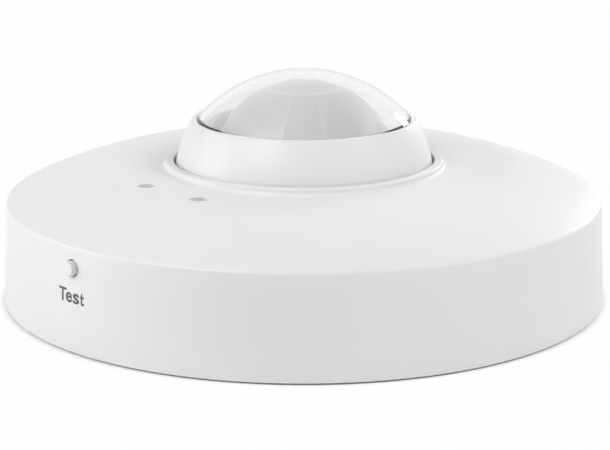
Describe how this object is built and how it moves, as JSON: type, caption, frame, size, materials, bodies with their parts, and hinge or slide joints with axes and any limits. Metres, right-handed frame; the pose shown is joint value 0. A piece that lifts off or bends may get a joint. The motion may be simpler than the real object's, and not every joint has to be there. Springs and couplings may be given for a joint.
{
  "type": "motion sensor",
  "caption": "Round surface-mounted ceiling motion sensor with a segmented dome lens in a spherical ring, a side test button and two light windows.",
  "frame": {"origin": "centre of the mounting face, where the base plate meets the ceiling", "axes": "+Z out of the lens, away from the mounting face; the test button faces -Y"},
  "size_m": [0.11, 0.1103, 0.0411],
  "materials": {
    "white_shell": "fine satin moulded surface",
    "white_button": "smooth satin",
    "white_base": "plain moulded",
    "lens": "clear outside, segmented and slightly milky inside",
    "grommet": "matt",
    "black_plastic": "moulded",
    "steel": "zinc plated",
    "brass_clamps": "tin plated",
    "board": "solder mask",
    "filter": "dark infrared filter",
    "light_guide": "clear",
    "led": "tinted",
    "terminal": "moulded",
    "relay": "moulded",
    "film_capacitor": "moulded",
    "capacitor_sleeve": "printed sleeve left bare",
    "varistor": "dipped",
    "fuse": "moulded",
    "resistor": "dipped",
    "trimmer": "moulded",
    "rotor": "moulded"
  },
  "bodies": {
    "housing": {"base_plate": "white_base", "board_screws": "steel", "cable_grommet": "grommet", "dropper_resistor": "resistor", "film_capacitor": "film_capacitor", "front_cover": "white_shell", "fuse": "fuse", "head_housing": "white_base", "head_screws": "steel", "lens": "lens", "lens_ring": "white_shell", "light_sensor": "black_plastic", "lux_light_guide": "light_guide", "lux_trimmer": "trimmer", "main_board": "board", "microcontroller": "black_plastic", "pir_sensor": "steel", "pir_window": "filter", "rectifier": "black_plastic", "relay": "relay", "sensor_spacer": "black_plastic", "smoothing_capacitors": "capacitor_sleeve", "status_led": "led", "status_light_guide": "light_guide", "tact_switch": "black_plastic", "terminal_block": "terminal", "terminal_clamps": "brass_clamps", "terminal_screws": "steel", "time_trimmer": "trimmer", "varistor": "varistor"},
    "button": {"test_button": "white_button"},
    "plunger": {"tact_plunger": "black_plastic"},
    "time_dial": {"time_rotor": "rotor"},
    "lux_dial": {"lux_rotor": "rotor"}
  },
  "joints": [
    {"name": "button_press", "type": "slide", "parent": "housing", "child": "button", "axis": [0, 1, 0], "range_m": [0, 0.0005], "stiffness_N_per_m": 4000, "springref_m": -0.0001},
    {"name": "plunger_press", "type": "slide", "parent": "housing", "child": "plunger", "axis": [0, 1, 0], "range_m": [0, 0.0005]},
    {"name": "time_turn", "type": "hinge", "parent": "housing", "child": "time_dial", "pos_m": [-0.01961, -0.03138, 0.0104], "axis": [0, 0, 1], "range_deg": [-105, 105]},
    {"name": "lux_turn", "type": "hinge", "parent": "housing", "child": "lux_dial", "pos_m": [0.01961, -0.03138, 0.0104], "axis": [0, 0, 1], "range_deg": [-105, 105]}
  ],
  "couplings": [
    {"joint": "plunger_press", "follows": "button_press", "ratio": 1}
  ]
}
